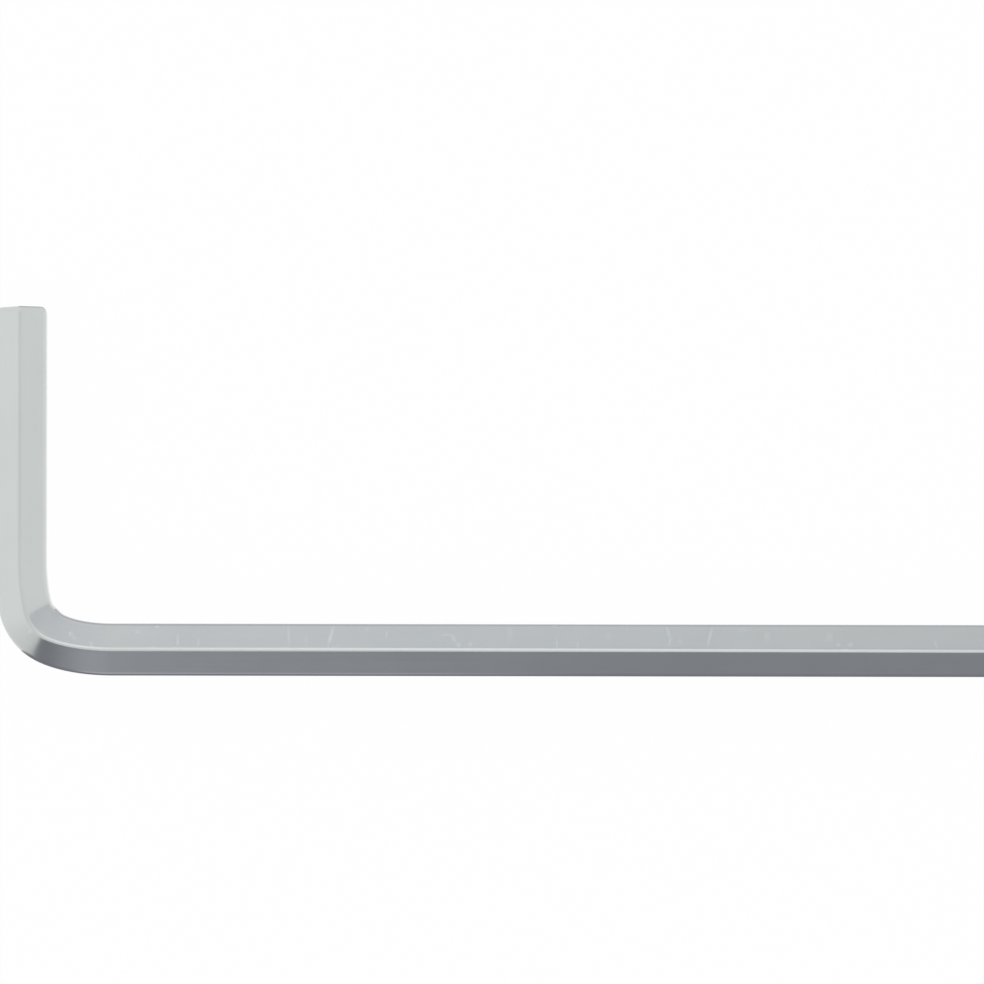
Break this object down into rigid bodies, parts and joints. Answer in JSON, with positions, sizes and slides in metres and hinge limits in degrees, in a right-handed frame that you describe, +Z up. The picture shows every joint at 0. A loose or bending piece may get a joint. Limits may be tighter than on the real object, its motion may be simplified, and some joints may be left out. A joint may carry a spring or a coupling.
{
  "type": "hex key",
  "caption": "L-shaped hex key bent from hexagonal steel bar, with a short and a long arm and flat, edge-rounded ends that turn hexagon socket screws.",
  "frame": {"origin": "middle of the footprint's bounding box, on the surface that the key lies on", "axes": "+X along the long arm towards its end, +Y along the short arm towards its end, +Z up out of that surface"},
  "size_m": [0.144, 0.0284, 0.0045],
  "materials": {
    "plated_steel": "satin chrome plate over a drawn steel bar, with faint lengthwise drawing lines and light scuffs"
  },
  "bodies": {
    "root": {"hex_key": "plated_steel"}
  },
  "joints": []
}
